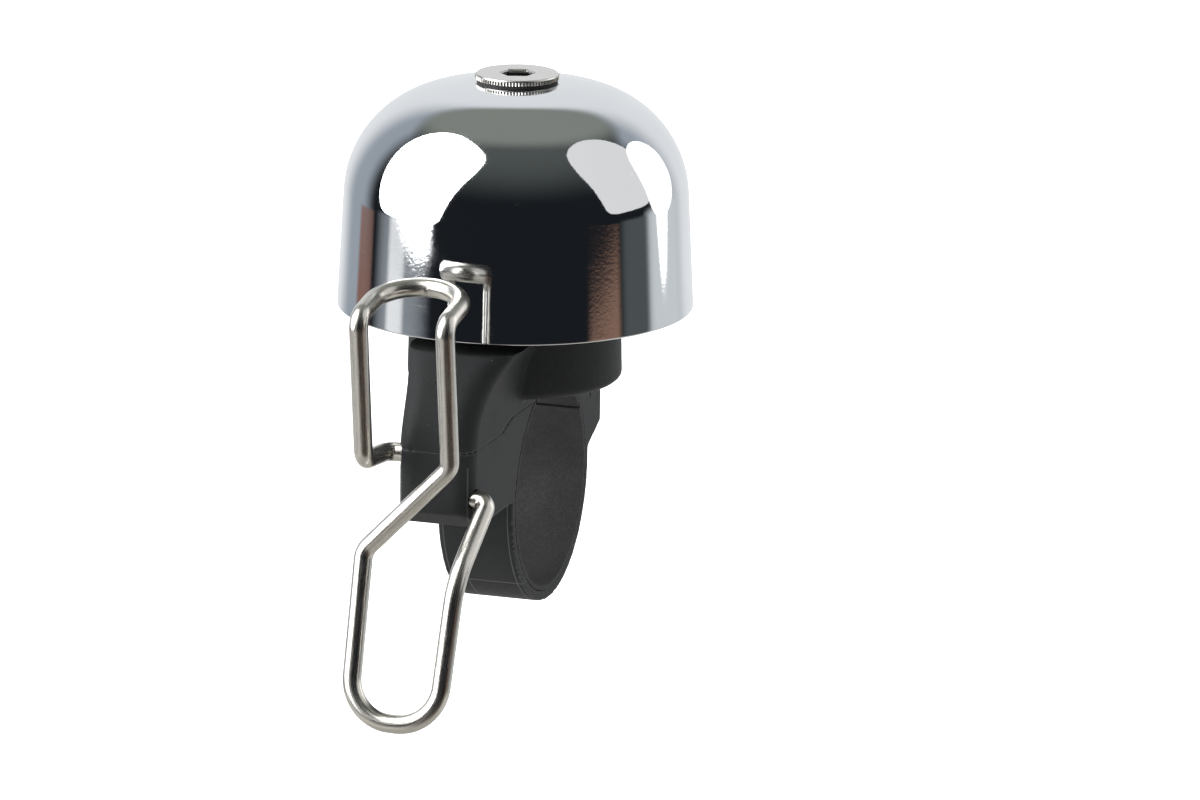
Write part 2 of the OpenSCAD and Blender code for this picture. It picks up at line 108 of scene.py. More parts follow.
class BellDomeSettings(bpy.types.PropertyGroup):
    rim_radius: length("Rim radius", "Radius of the dome at its rim", DOME_HI.x)
    wall: length("Wall", "Thickness of the dome's metal", 1.1 * MM)
    side_lean: bpy.props.FloatProperty(
        name="Side lean", description="Angle of the dome's side from upright",
        default=math.radians(3), min=0.0, max=0.2, subtype="ANGLE",
    )
    shoulder_share: bpy.props.FloatProperty(
        name="Shoulder", description="Shoulder radius as a share of the rim's radius",
        default=0.63, min=0.4, max=0.7,
    )
    crown_radius: length("Crown radius", "Radius of the dome's crown", 42 * MM)
    flat_radius: length("Flat spot", "Radius of the flat spot on the crown", 4.7 * MM)
    hole_radius: length("Hole", "Radius of the hole for the bush", 3.6 * MM)
    edge_radius: length("Rim rounding", "Rounding of the dome's rim", 0.16 * MM)
    chrome: colour("Chrome", "Colour of the polished chrome", (0.79, 0.80, 0.815))


class BellScrewSettings(bpy.types.PropertyGroup):
    head_radius: length("Head radius", "Radius of the disc head", SCREW_HI.x)
    shank_radius: length("Shank radius", "Radius of the screw's shank", 2.5 * MM)
    socket_width: length("Socket", "Width of the hexagon socket", 3.2 * MM)
    socket_depth: length("Socket depth", "Depth of the hexagon socket", 2.4 * MM)
    socket_turn: bpy.props.FloatProperty(
        name="Socket turn", description="Turn of the socket about the screw",
        default=math.radians(18), subtype="ANGLE",
    )
    ribs: bpy.props.IntProperty(
        name="Ribs", description="Number of ribs round the head's edge",
        default=84, min=12, max=160,
    )
    rib_depth: length("Rib depth", "Depth of the ribs", 0.11 * MM)
    steel: colour("Steel", "Colour of the screw's steel", (0.74, 0.725, 0.695))


class BellWireSettings(bpy.types.PropertyGroup):
    wire_radius: length("Wire radius", "Radius of the bent wire", 1 * MM)
    sides: bpy.props.IntProperty(
        name="Sides", description="Faces round the wire", default=32, min=8, max=64
    )
    bend_steps: bpy.props.IntProperty(
        name="Bend steps", description="Sections in each bend", default=18, min=4, max=40
    )
    bend_in: length("Bend", "Radius inside the tight bends", 0.5 * MM)
    frame_width: length("Frame width", "Width of the upright frame", 9.5 * MM)
    frame_top: length("Frame top", "Height of the top of the upright frame", 24.75 * MM)
    arch_straight: length("Arch straight", "Straight part of the striker arch", 4.1 * MM)
    arch_tilt: bpy.props.FloatProperty(
        name="Arch tilt", description="Upward tilt of the striker arch",
        default=math.radians(10.7), subtype="ANGLE",
    )
    steel: colour("Steel", "Colour of the drawn steel wire", (0.66, 0.635, 0.59))


class BellBodySettings(bpy.types.PropertyGroup):
    detail: length("Detail", "Size of the smallest detail kept", 0.2 * MM, 0.1 * MM, 1 * MM)
    softness: bpy.props.IntProperty(
        name="Softness", description="Rounding of the moulded edges", default=6, min=0, max=20
    )
    plastic: colour("Plastic", "Colour of the moulded plastic", (0.0155, 0.0165, 0.0172))
    rubber: colour("Rubber", "Colour of the rubber liner and washer", (0.018, 0.018, 0.018))
    brass: colour("Brass", "Colour of the threaded insert", (0.62, 0.42, 0.17))
    zinc: colour("Zinc", "Colour of the plated steel parts", (0.55, 0.56, 0.57))
    nylon: colour("Nylon", "Colour of the soft bush", (0.78, 0.76, 0.68))


class BellStageSettings(bpy.types.PropertyGroup):
    floor: colour("Floor", "Colour of the floor", (0.93, 0.93, 0.925))
    floor_drop: length("Floor drop", "Gap between the bell and the floor", 3 * MM)
    key: bpy.props.FloatProperty(
        name="Key light", description="Brightness of the large soft light", default=5.0, min=0
    )
    side: bpy.props.FloatProperty(
        name="Side light", description="Brightness of the soft light on the right",
        default=0.85, min=0,
    )
    rim: bpy.props.FloatProperty(
        name="Rim light", description="Brightness of the narrow light on the right",
        default=1.7, min=0,
    )


# ---------- node helpers


def link(tree, a, b):
    tree.links.new(a, b)


def node(tree, kind, **values):
    made = tree.nodes.new(kind)
    for key, value in values.items():
        setattr(made, key, value)
    return made


def put(socket_owner, name, value):
    """Sets an input to a value, or links it to a socket."""
    socket = socket_owner.inputs[name]
    if isinstance(value, bpy.types.NodeSocket):
        socket_owner.id_data.links.new(value, socket)
    else:
        socket.default_value = value


def maths(tree, operation, *values):
    made = node(tree, "ShaderNodeMath", operation=operation)
    for i, value in enumerate(values):
        put(made, i, value)
    return made.outputs[0]


def scaled(tree, value, by):
    return maths(tree, "MULTIPLY", value, by)


def ranged(tree, value, low, high, to_low=0.0, to_high=1.0):
    made = node(tree, "ShaderNodeMapRange", interpolation_type="SMOOTHSTEP")
    for key, v in (("Value", value), ("From Min", low), ("From Max", high),
                   ("To Min", to_low), ("To Max", to_high)):
        put(made, key, v)
    return made.outputs["Result"]


def mixed(tree, factor, a, b):
    made = node(tree, "ShaderNodeMix", data_type="RGBA")
    put(made, 0, factor)
    put(made, 6, a)
    put(made, 7, b)
    return made.outputs[2]


def noise(tree, vector, scale, detail=2.0, roughness=0.5):
    made = node(tree, "ShaderNodeTexNoise")
    for key, value in (("Vector", vector), ("Scale", scale), ("Detail", detail),
                       ("Roughness", roughness)):
        put(made, key, value)
    return made.outputs["Fac"]


def effect(name, inputs, outputs, fill):
    """A shader node group, built once. fill(tree, sockets in, output node) wires it."""
    if name in bpy.data.node_groups:
        return bpy.data.node_groups[name]
    tree = bpy.data.node_groups.new(name, "ShaderNodeTree")
    for label, kind, default in inputs:
        socket = tree.interface.new_socket(label, in_out="INPUT", socket_type=kind)
        if default is not None:
            socket.default_value = default
    for label, kind in outputs:
        tree.interface.new_socket(label, in_out="OUTPUT", socket_type=kind)
    into = tree.nodes.new("NodeGroupInput")
    out = tree.nodes.new("NodeGroupOutput")
    fill(tree, into.outputs, out)
    return tree


def fine_grain():
    """Small even pits, as on a moulded or satin surface, and a slow change across it."""

    def fill(tree, given, out):
        pits = noise(tree, given["Place"], given["Scale"], 3.0, 0.55)
        slow_scale = scaled(tree, given["Scale"], 0.04)
        slow = noise(tree, given["Place"], slow_scale, 2.0, 0.5)
        link(tree, pits, out.inputs["Height"])
        link(tree, ranged(tree, slow, 0.3, 0.7), out.inputs["Cloud"])

    return effect("fine grain",
                  [("Place", "NodeSocketVector", None), ("Scale", "NodeSocketFloat", 5000.0)],
                  [("Height", "NodeSocketFloat"), ("Cloud", "NodeSocketFloat")], fill)


def tool_lines():
    """Fine lines along one direction of Place: it is squeezed by Squeeze."""

    def fill(tree, given, out):
        squeeze = node(tree, "ShaderNodeVectorMath", operation="MULTIPLY")
        link(tree, given["Place"], squeeze.inputs[0])
        link(tree, given["Squeeze"], squeeze.inputs[1])
        lines = noise(tree, squeeze.outputs[0], 1.0, 4.0, 0.6)
        link(tree, lines, out.inputs["Height"])
        link(tree, ranged(tree, lines, 0.56, 0.72), out.inputs["Scratch"])

    return effect("tool lines",
                  [("Place", "NodeSocketVector", None),
                   ("Squeeze", "NodeSocketVector", (1000.0, 1000.0, 50.0))],
                  [("Height", "NodeSocketFloat"), ("Scratch", "NodeSocketFloat")], fill)


def settled_dust():
    """Sparse specks, more of them on faces that look up."""

    def fill(tree, given, out):
        specks = node(tree, "ShaderNodeTexVoronoi", feature="F1")
        put(specks, "Vector", given["Place"])
        put(specks, "Scale", given["Scale"])
        dot = ranged(tree, specks.outputs["Distance"], 0.03, 0.11, 1.0, 0.0)
        patch = noise(tree, given["Place"], scaled(tree, given["Scale"], 0.3), 1.0)
        facing = node(tree, "ShaderNodeNewGeometry")
        split = node(tree, "ShaderNodeSeparateXYZ")
        link(tree, facing.outputs["Normal"], split.inputs[0])
        up = ranged(tree, split.outputs["Z"], -0.3, 0.9, 0.25, 1.0)
        mask = maths(tree, "MULTIPLY", dot, ranged(tree, patch, 0.5, 0.62))
        link(tree, maths(tree, "MULTIPLY", mask, up), out.inputs["Dust"])

    return effect("settled dust",
                  [("Place", "NodeSocketVector", None), ("Scale", "NodeSocketFloat", 900.0)],
                  [("Dust", "NodeSocketFloat")], fill)


def placed(tree, group, **values):
    made = node(tree, "ShaderNodeGroup", node_tree=group)
    for key, value in values.items():
        put(made, key.replace("_", " "), value)
    return made


def turned_place(tree, place):
    """Coordinates for turned work: distance from the axis, height, and angle."""
    split = node(tree, "ShaderNodeSeparateXYZ")
    link(tree, place, split.inputs[0])
    x, y = split.outputs["X"], split.outputs["Y"]
    far = maths(tree, "SQRT", maths(tree, "ADD", maths(tree, "MULTIPLY", x, x),
                                    maths(tree, "MULTIPLY", y, y)))
    turn = maths(tree, "ARCTAN2", y, x)
    join = node(tree, "ShaderNodeCombineXYZ")
    link(tree, far, join.inputs["X"])
    link(tree, split.outputs["Z"], join.inputs["Y"])
    link(tree, turn, join.inputs["Z"])
    return join.outputs[0]


def material(name):
    """A new material with its shader, its object coordinates, and a bump node on Normal."""
    made = bpy.data.materials.new(name)
    made.use_nodes = True
    tree = made.node_tree
    shader = tree.nodes["Principled BSDF"]
    place = node(tree, "ShaderNodeTexCoord").outputs["Object"]
    bump = node(tree, "ShaderNodeBump")
    link(tree, bump.outputs["Normal"], shader.inputs["Normal"])
    return made, tree, shader, place, bump


def roughen(bump, height, strength, depth):
    for key, value in (("Height", height), ("Strength", strength), ("Distance", depth)):
        put(bump, key, value)


def rgba(c, gain=1.0):
    return (c[0] * gain, c[1] * gain, c[2] * gain, 1.0)


def moved(tree, place, by):
    """Place measured from another point."""
    mapping = node(tree, "ShaderNodeMapping", vector_type="POINT")
    link(tree, place, mapping.inputs["Vector"])
    mapping.inputs["Location"].default_value = [-v for v in by]
    return mapping.outputs[0]


# ---------- finishes


def polished_chrome(tint):
    made, tree, shader, place, bump = material("polished chrome")
    grain = placed(tree, fine_grain(), Place=place, Scale=2600.0)
    wipe = placed(tree, tool_lines(), Place=turned_place(tree, place),
                  Squeeze=(2600.0, 2600.0, 1.5))
    dust = placed(tree, settled_dust(), Place=place, Scale=420.0)
    put(shader, "Metallic", 1.0)
    put(shader, "Base Color", mixed(tree, grain.outputs["Cloud"], rgba(tint, 0.97), rgba(tint)))
    smudge = ranged(tree, noise(tree, place, 110.0, 3.0, 0.6), 0.45, 0.75, 0.035, 0.075)
    rough = maths(tree, "ADD", smudge, scaled(tree, wipe.outputs["Scratch"], 0.03))
    put(shader, "Roughness", maths(tree, "ADD", rough, scaled(tree, dust.outputs["Dust"], 0.3)))
    height = maths(tree, "ADD", grain.outputs["Height"], scaled(tree, wipe.outputs["Height"], 0.15))
    roughen(bump, height, 0.35, 0.000004)
    return made


def drawn_steel(tint):
    made, tree, shader, place, bump = material("drawn steel wire")
    along = node(tree, "ShaderNodeAttribute", attribute_name="wire_place").outputs["Vector"]
    lines = placed(tree, tool_lines(), Place=along, Squeeze=(9000.0, 9000.0, 160.0))
    marks = placed(tree, tool_lines(), Place=along, Squeeze=(1400.0, 1400.0, 260.0))
    grain = placed(tree, fine_grain(), Place=place, Scale=5200.0)
    dust = placed(tree, settled_dust(), Place=place, Scale=1500.0)
    base = mixed(tree, lines.outputs["Height"], rgba(tint, 0.86), rgba(tint, 1.08))
    base = mixed(tree, scaled(tree, marks.outputs["Scratch"], 0.35), base,
                 rgba(tint, 0.6))
    put(shader, "Base Color", base)
    put(shader, "Metallic", 1.0)
    rough = ranged(tree, lines.outputs["Height"], 0.3, 0.7, 0.2, 0.34)
    rough = maths(tree, "ADD", rough, scaled(tree, marks.outputs["Scratch"], 0.12))
    put(shader, "Roughness", maths(tree, "ADD", rough, scaled(tree, dust.outputs["Dust"], 0.2)))
    height = maths(tree, "ADD", lines.outputs["Height"], scaled(tree, grain.outputs["Height"], 0.5))
    height = maths(tree, "SUBTRACT", height, scaled(tree, marks.outputs["Scratch"], 0.8))
    roughen(bump, height, 0.5, 0.000012)
    return made


def turned_metal(name, tint, rough=(0.22, 0.36), axis=(0, 0, 0), relief=0.000012, socket=None):
    """Metal with the fine rings that a lathe leaves, round an upright axis. socket is the (radius,
    height) of an opening whose inside is painted dark, as painted shade in the recess."""
    made, tree, shader, place, bump = material(name)
    rings = placed(tree, tool_lines(), Place=turned_place(tree, moved(tree, place, axis)),
                   Squeeze=(11000.0, 11000.0, 1.0))
    grain = placed(tree, fine_grain(), Place=place, Scale=6000.0)
    put(shader, "Metallic", 1.0)
    base = mixed(tree, rings.outputs["Height"], rgba(tint, 0.85), rgba(tint, 1.05))
    # painted shade: the inside of the socket opening is darkened to stand in for the shade in the
    # recess
    if socket:
        split = node(tree, "ShaderNodeSeparateXYZ")
        link(tree, turned_place(tree, moved(tree, place, axis)), split.inputs[0])
        radius, height = socket
        inside = maths(tree, "MULTIPLY",
                       ranged(tree, split.outputs["X"], radius, radius + 0.0002, 1.0, 0.0),
                       ranged(tree, split.outputs["Y"], height - 0.0005, height - 0.00015,
                              1.0, 0.0))
        base = mixed(tree, inside, base, rgba(tint, 0.12))
    put(shader, "Base Color", base)
    put(shader, "Roughness", ranged(tree, rings.outputs["Height"], 0.3, 0.7, *rough))
    height = maths(tree, "ADD", rings.outputs["Height"], scaled(tree, grain.outputs["Height"], 0.5))
    roughen(bump, height, 0.5, relief)
    return made


def moulded_plastic(name, tint, lines=()):
    """Spark-textured plastic; its convex edges are lightened, part rub wear and part painted
    highlight. lines are the faint witness lines, raised and also painted lighter as painted sheen:
    (axis, place, low, high), a line at that place on the axis, kept to heights between low and
    high."""
    made, tree, shader, place, bump = material(name)
    grain = placed(tree, fine_grain(), Place=place, Scale=7600.0)
    coarse = placed(tree, fine_grain(), Place=place, Scale=2400.0)
    dust = placed(tree, settled_dust(), Place=place, Scale=1300.0)
    split = node(tree, "ShaderNodeSeparateXYZ")
    link(tree, place, split.inputs[0])
    witness_and_sheen = None
    for axis, where, low, high in lines:
        off = maths(tree, "ABSOLUTE", maths(tree, "SUBTRACT", split.outputs[axis], where))
        line = ranged(tree, off, 0.00002, 0.00009, 1.0, 0.0)
        inside = maths(tree, "MULTIPLY",
                       ranged(tree, split.outputs["Z"], low, low + 0.0002),
                       ranged(tree, split.outputs["Z"], high - 0.0002, high, 1.0, 0.0))
        line = maths(tree, "MULTIPLY", line, inside)
        witness_and_sheen = line if witness_and_sheen is None else maths(tree, "MAXIMUM", witness_and_sheen, line)
    base = mixed(tree, coarse.outputs["Cloud"], rgba(tint, 0.88), rgba(tint, 1.15))
    base = mixed(tree, scaled(tree, dust.outputs["Dust"], 0.5), base,
                 (0.3, 0.3, 0.29, 1.0))
    # painted highlight and rub wear: the edge_line attribute lightens the convex edges and lowers
    # their roughness
    edge_sheen_and_wear = node(tree, "ShaderNodeAttribute", attribute_name="edge_line").outputs["Fac"]
    base = mixed(tree, scaled(tree, edge_sheen_and_wear, 0.8), base, (0.13, 0.133, 0.138, 1.0))
    rough = ranged(tree, grain.outputs["Height"], 0.3, 0.7, 0.48, 0.62)
    rough = maths(tree, "SUBTRACT", rough, scaled(tree, edge_sheen_and_wear, 0.14))
    put(shader, "Specular IOR Level", 0.16)
    height = maths(tree, "ADD", scaled(tree, grain.outputs["Height"], 0.8),
                   scaled(tree, coarse.outputs["Height"], 0.5))
    if witness_and_sheen is not None:
        # painted sheen: the raised witness lines are also painted lighter, as if they caught the
        # light
        base = mixed(tree, scaled(tree, witness_and_sheen, 0.4), base, (0.12, 0.12, 0.12, 1))
        height = maths(tree, "ADD", height, scaled(tree, witness_and_sheen, 1.6))
    put(shader, "Base Color", base)
    put(shader, "Roughness", rough)
    roughen(bump, height, 0.6, 0.00003)
    return made


def soft_rubber(name, tint):
    made, tree, shader, place, bump = material(name)
    grain = placed(tree, fine_grain(), Place=place, Scale=5200.0)
    dust = placed(tree, settled_dust(), Place=place, Scale=1700.0)
    base = mixed(tree, grain.outputs["Cloud"], rgba(tint, 0.8), rgba(tint, 1.3))
    put(shader, "Base Color", mixed(tree, scaled(tree, dust.outputs["Dust"], 0.4),
                                    base, (0.25, 0.24, 0.22, 1)))
    put(shader, "Roughness", ranged(tree, grain.outputs["Height"], 0.3, 0.7, 0.7, 0.9))
    roughen(bump, grain.outputs["Height"], 0.5, 0.00003)
    return made


def milky_nylon(tint):
    made, tree, shader, place, bump = material("milky nylon")
    grain = placed(tree, fine_grain(), Place=place, Scale=3800.0)
    rings = placed(tree, tool_lines(), Place=turned_place(tree, place),
                   Squeeze=(6000.0, 6000.0, 1.0))
    put(shader, "Base Color", mixed(tree, grain.outputs["Cloud"], rgba(tint, 0.9), rgba(tint)))
    put(shader, "Roughness", ranged(tree, rings.outputs["Height"], 0.3, 0.7, 0.38, 0.52))
    height = maths(tree, "ADD", rings.outputs["Height"], grain.outputs["Height"])
    roughen(bump, height, 0.4, 0.00001)
    return made


# ---------- mesh helpers


def add_object(name, mesh):
    made = bpy.data.objects.new(name, mesh)
    bpy.context.scene.collection.objects.link(made)
    return made


def finished(source, name):
    """The evaluated shape of source as a plain mesh object; source itself is removed."""
    graph = bpy.context.evaluated_depsgraph_get()
    mesh = bpy.data.meshes.new_from_object(source.evaluated_get(graph), depsgraph=graph)
    old = source.data
    bpy.data.objects.remove(source)
    bpy.data.meshes.remove(old)
    mesh.name = name
    return add_object(name, mesh)


def paint(piece, finish):
    piece.data.materials.clear()
    piece.data.materials.append(finish)


def lathe(name, profile, sides):
    """A ring-shaped solid: the closed profile of (radius, height) points, turned about Z."""
    shape = bmesh.new()
    rings = []
    for k in range(sides):
        a = 2 * math.pi * k / sides
        rings.append([shape.verts.new((r * math.cos(a), r * math.sin(a), z))
                      for r, z in profile])
    for k in range(sides):
        here, there = rings[k], rings[(k + 1) % sides]
        for i in range(len(profile)):
            j = (i + 1) % len(profile)
            shape.faces.new((here[i], there[i], there[j], here[j]))
    bmesh.ops.recalc_face_normals(shape, faces=shape.faces)
    mesh = bpy.data.meshes.new(name)
    shape.to_mesh(mesh)
    shape.free()
    mesh.shade_smooth()
    return add_object(name, mesh)


def stacked(name, rings, sides):
    """A closed solid through rings of (radius at an angle, height), with a point at each end."""
    shape = bmesh.new()
    loops = []
    for reach, z in rings:
        loops.append([
            shape.verts.new((reach(a) * math.cos(a), reach(a) * math.sin(a), z))
            for a in (2 * math.pi * k / sides for k in range(sides))
        ])
    for low, high in zip(loops, loops[1:]):
        for k in range(sides):
            m = (k + 1) % sides
            shape.faces.new((low[k], low[m], high[m], high[k]))
    for loop, (reach, z) in ((loops[0], rings[0]), (loops[-1], rings[-1])):
        tip = shape.verts.new((0, 0, z))
        for k in range(sides):
            shape.faces.new((loop[k], loop[(k + 1) % sides], tip))
    bmesh.ops.recalc_face_normals(shape, faces=shape.faces)
    mesh = bpy.data.meshes.new(name)
    shape.to_mesh(mesh)
    shape.free()
    return add_object(name, mesh)


def arc(centre, radius, start, end, steps):
    return [(centre[0] + radius * math.cos(start + (end - start) * i / steps),
             centre[1] + radius * math.sin(start + (end - start) * i / steps))
            for i in range(steps + 1)]


def between(a, b, shares):
    return [(a[0] + (b[0] - a[0]) * t, a[1] + (b[1] - a[1]) * t) for t in shares]


# ---------- dome


def dome_face(s, inset):
    """One face of the dome, inset from the outer face, from rim to flat spot."""
    bend_steps, top_steps = 56, 22
    rim = Vector((s.rim_radius, DOME_LO.z))
    lean = s.side_lean
    up = Vector((-math.sin(lean), math.cos(lean)))
    inwards = Vector((-math.cos(lean), -math.sin(lean)))
    flat_z = DOME_HI.z
    crown = Vector((0, flat_z - math.sqrt(s.crown_radius ** 2 - s.flat_radius ** 2)))
    shoulder_r = s.shoulder_share * s.rim_radius
    start = rim + shoulder_r * inwards - crown
    run = start.dot(up)
    side = math.sqrt(run * run - start.dot(start) + (s.crown_radius - shoulder_r) ** 2) - run
    shoulder = rim + side * up + shoulder_r * inwards
    join = math.atan2(shoulder.y - crown.y, shoulder.x)
    foot = (s.rim_radius - inset / math.cos(lean), DOME_LO.z)
    bend = arc(shoulder, shoulder_r - inset, lean, join, bend_steps)
    top = arc(crown, s.crown_radius - inset, join,
              math.acos(s.flat_radius / (s.crown_radius - inset)), top_steps)
    return foot, bend, top[1:]


def rounded_corner(a, b, c, radius, steps=6):
    """The points of a round from a to c that replaces the corner b."""
    a, b, c = Vector(a), Vector(b), Vector(c)
    u, v = (a - b).normalized(), (c - b).normalized()
    half = math.acos(max(-1, min(1, u.dot(v)))) / 2
    centre = b + (u + v).normalized() * radius / math.sin(half)
    one, two = b + u * radius / math.tan(half), b + v * radius / math.tan(half)
    start = math.atan2(one.y - centre.y, one.x - centre.x)
    turn = math.atan2(two.y - centre.y, two.x - centre.x) - start
    turn = (turn + math.pi) % (2 * math.pi) - math.pi
    return arc(centre, radius, start, start + turn, steps)


def dome_profile(s):
    foot, bend, top = dome_face(s, 0.0)
    in_foot, in_bend, in_top = dome_face(s, s.wall)
    hole_top = (s.hole_radius, DOME_HI.z)
    hole_low = (s.hole_radius, DOME_HI.z - s.wall)
    hold = (0.012, 0.05, 0.3, 0.7, 0.95, 0.99)
    outside_foot = rounded_corner(in_foot, foot, bend[0], s.edge_radius)
    inside_foot = rounded_corner(in_bend[0], in_foot, foot, s.edge_radius)
    small, flat_round = 0.08 * MM, 3 * MM
    flat_edge = rounded_corner(top[-2], top[-1], hole_top, flat_round, 4)
    points = list(outside_foot)
    points += between(outside_foot[-1], bend[0], hold)
    points += bend + top[:-1] + flat_edge
    points += rounded_corner(top[-1], hole_top, hole_low, small, 3)
    points += rounded_corner(hole_top, hole_low, in_top[-1], small, 3)
    points += list(reversed(in_top)) + list(reversed(in_bend))
    points += between(in_bend[0], inside_foot[0], hold)
    points += inside_foot
    return points


class BELL_OT_dome(bpy.types.Operator):
    """Makes the chromed dome"""

    bl_idname = "bell.dome"
    bl_label = "Dome"

    def execute(self, context):
        s = context.scene.bell_dome
        piece = lathe("chrome_dome", dome_profile(s), 256)
        paint(piece, polished_chrome(s.chrome))
        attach(piece, "clamp")
        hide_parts("dome")
        return {"FINISHED"}


# ---------- dome screw


def hexagon(width, turn):
    """Reach of a hexagon's outline at an angle."""

    def reach(a):
        off = (a - turn) % (math.pi / 3) - math.pi / 6
        return width / 2 / math.cos(off)

    return reach


def round_reach(radius):
    return lambda a: radius


def shape_tree(name, *inputs):
    """A geometry tree with its ends. inputs are (name, socket type), after the geometry."""
    tree = bpy.data.node_groups.new(name, "GeometryNodeTree")
    face = tree.interface
    for label, kind in (("Geometry", "Geometry"), *inputs, ("Finish", "Material")):
        face.new_socket(label, in_out="INPUT", socket_type="NodeSocket" + kind)
    face.new_socket("Geometry", in_out="OUTPUT", socket_type="NodeSocketGeometry")
    return tree, tree.nodes.new("NodeGroupInput"), tree.nodes.new("NodeGroupOutput")


def coated(tree, into, out, shape):
    """Ends a geometry tree: the shape gets its material and goes out."""
    coat = node(tree, "GeometryNodeSetMaterial")
    link(tree, shape, coat.inputs["Geometry"])
    link(tree, into.outputs["Finish"], coat.inputs["Material"])
    link(tree, coat.outputs[0], out.inputs["Geometry"])


def rib_tree():
    """Ribs set upright round the edge of a disc."""
    tree, into, out = shape_tree("edge ribs", ("Ribs", "Int"), ("Disc radius", "Float"),
                                 ("Rib depth", "Float"), ("Rib height", "Float"),
                                 ("Height", "Float"))
    ring = node(tree, "GeometryNodeMeshCircle")
    link(tree, into.outputs["Ribs"], ring.inputs["Vertices"])
    put(ring, "Radius", maths(tree, "SUBTRACT", into.outputs["Disc radius"],
                              into.outputs["Rib depth"]))
    lift = node(tree, "GeometryNodeTransform")
    raise_by = node(tree, "ShaderNodeCombineXYZ")
    link(tree, into.outputs["Height"], raise_by.inputs["Z"])
    link(tree, ring.outputs["Mesh"], lift.inputs["Geometry"])
    link(tree, raise_by.outputs[0], lift.inputs["Translation"])
    # a rib is a thin six-sided bar with an edge outwards
    rib = node(tree, "GeometryNodeMeshCylinder", fill_type="NGON")
    rib.inputs["Vertices"].default_value = 6
    link(tree, into.outputs["Rib depth"], rib.inputs["Radius"])
    link(tree, into.outputs["Rib height"], rib.inputs["Depth"])
    place = node(tree, "GeometryNodeInputPosition")
    flat = node(tree, "ShaderNodeVectorMath", operation="MULTIPLY")
    link(tree, place.outputs[0], flat.inputs[0])
    flat.inputs[1].default_value = (1, 1, 0)
    face_out = node(tree, "FunctionNodeAlignRotationToVector", axis="X")
    link(tree, flat.outputs[0], face_out.inputs["Vector"])
    copies = node(tree, "GeometryNodeInstanceOnPoints")
    link(tree, lift.outputs[0], copies.inputs["Points"])
    link(tree, rib.outputs["Mesh"], copies.inputs["Instance"])
    link(tree, face_out.outputs[0], copies.inputs["Rotation"])
    real = node(tree, "GeometryNodeRealizeInstances")
    link(tree, copies.outputs[0], real.inputs[0])
    join = node(tree, "GeometryNodeJoinGeometry")
    link(tree, real.outputs[0], join.inputs[0])
    link(tree, into.outputs["Geometry"], join.inputs[0])
    coated(tree, into, out, join.outputs[0])
    return tree


def with_inputs(piece, tree, **values):
    """Adds the tree to the piece, with its inputs set by their sockets' identifiers."""
    made = piece.modifiers.new(tree.name, "NODES")
    made.node_group = tree
    names = {item.name: item.identifier for item in tree.interface.items_tree
             if item.item_type == "SOCKET" and item.in_out == "INPUT"}
    for key, value in values.items():
        made[names[key.replace("_", " ")]] = value


class BELL_OT_dome_screw(bpy.types.Operator):
    """Makes the socket screw on the crown, with the ribs round its head"""

    bl_idname = "bell.dome_screw"
    bl_label = "Dome screw"

    def execute(self, context):
        s = context.scene.bell_screw
        top, under, tip = SCREW_HI.z, WASHER_HI.z, SCREW_LO.z
        core = s.head_radius - s.rib_depth
        bevel, lip, flat_reach = 0.15 * MM, 0.05 * MM, 2.2 * MM
        drill_radius, drill_depth, tip_depth = 1.1 * MM, 0.35 * MM, 0.6 * MM
        six = hexagon(s.socket_width, s.socket_turn)
        wide = hexagon(s.socket_width + 0.3 * MM, s.socket_turn)
        edge = hexagon(s.socket_width + 0.02 * MM, s.socket_turn)
        rings = [(round_reach(s.shank_radius - 0.5 * MM), tip),
                 (round_reach(s.shank_radius), tip + 0.5 * MM),
                 (round_reach(s.shank_radius), under - lip),
                 (round_reach(s.shank_radius + lip), under),
                 (round_reach(core - 0.08 * MM), under),
                 (round_reach(core), under + 0.06 * MM),
                 (round_reach(core), top - bevel)]
        rings += [(round_reach(core - bevel * (1 - math.cos(q))), top - bevel + bevel * math.sin(q))
                  for q in (0.3, 0.8, 1.2, math.pi / 2)]
        rings += [(round_reach(core - bevel - lip), top),
                  (round_reach(flat_reach), top),
                  (wide, top), (edge, top - 0.14 * MM),
                  (six, top - 0.2 * MM), (six, top - s.socket_depth),
                  (round_reach(drill_radius), top - s.socket_depth - drill_depth),
                  (round_reach(0.3 * MM), top - s.socket_depth - tip_depth)]
        piece = stacked("head_blank", rings, 96)
        # the inside of the hexagon socket gets painted shade
        finish = turned_metal("turned stainless steel", s.steel, (0.2, 0.33),
                              socket=(0.62 * s.socket_width, top))
        with_inputs(piece, rib_tree(), Ribs=s.ribs, Disc_radius=s.head_radius,
                    Rib_depth=s.rib_depth, Rib_height=top - under - bevel - 0.1 * MM,
                    Height=(top + under - bevel) / 2 + 0.02 * MM, Finish=finish)
        piece = finished(piece, "dome_socket_screw")
        piece.data.shade_smooth()
        piece.data.set_sharp_from_angle(angle=math.radians(32))
        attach(piece, "clamp")
        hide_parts("dome_screw")
        return {"FINISHED"}


# ---------- wire


